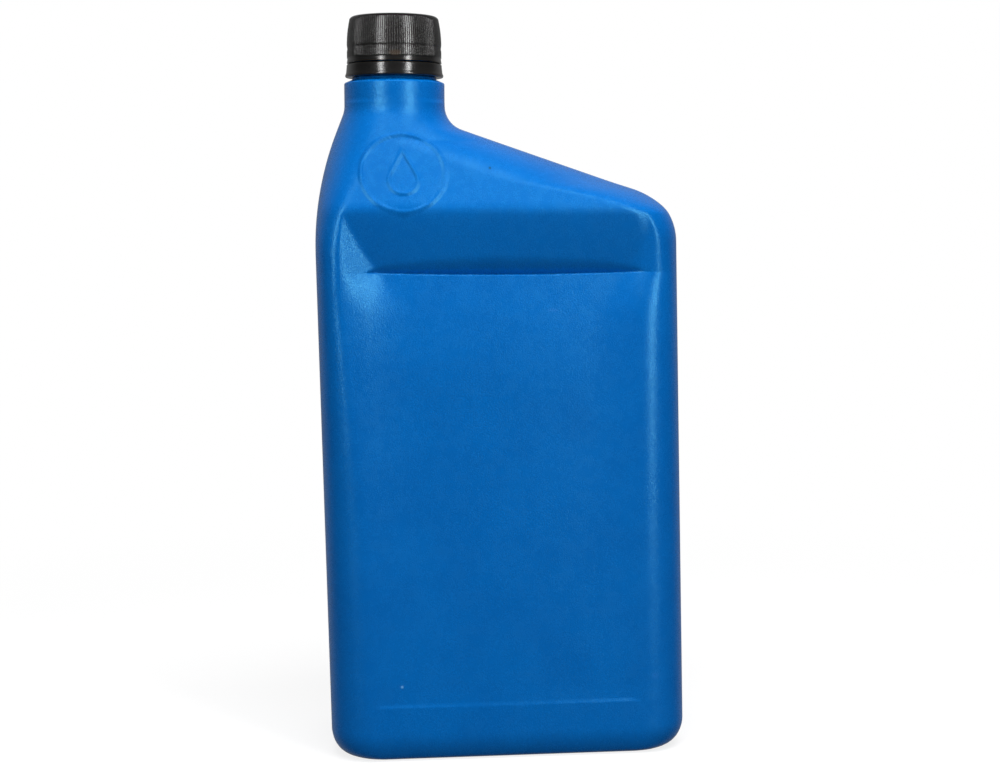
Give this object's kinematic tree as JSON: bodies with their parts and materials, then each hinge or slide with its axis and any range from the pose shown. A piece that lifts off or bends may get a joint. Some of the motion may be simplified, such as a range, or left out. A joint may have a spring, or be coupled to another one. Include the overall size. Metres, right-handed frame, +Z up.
{
  "type": "hydraulic oil bottle",
  "caption": "Tall flat blown bottle with an offset neck, pinched grip and recessed label panels, closed by a knurled screw cap with a break-away band.",
  "frame": {"origin": "centre of the standing base, on the floor, under the middle of the whole width", "axes": "+Z up along the neck, +X from the neck towards the long shoulder, -Y out of the front face"},
  "size_m": [0.1173, 0.058, 0.234],
  "materials": {
    "bottle": "satin blown polyethylene, blue all through",
    "closure": "moulded polypropylene, black",
    "liner": "closed-cell foam"
  },
  "bodies": {
    "bottle": {"bottle": "bottle", "tamper_band": "closure"},
    "liner": {"cap_liner": "liner"},
    "cap": {"cap": "closure"}
  },
  "joints": [
    {"name": "cap_lift", "type": "slide", "parent": "bottle", "child": "liner", "axis": [0, 0, 1], "range_m": [0, 0.0211]},
    {"name": "cap_turn", "type": "hinge", "parent": "liner", "child": "cap", "pos_m": [-0.03296, 0, 0.2194], "axis": [0, 0, 1], "range_deg": [0, 1800]}
  ],
  "couplings": [
    {"joint": "cap_turn", "follows": "cap_lift", "rad_per_m": 1485.4}
  ]
}
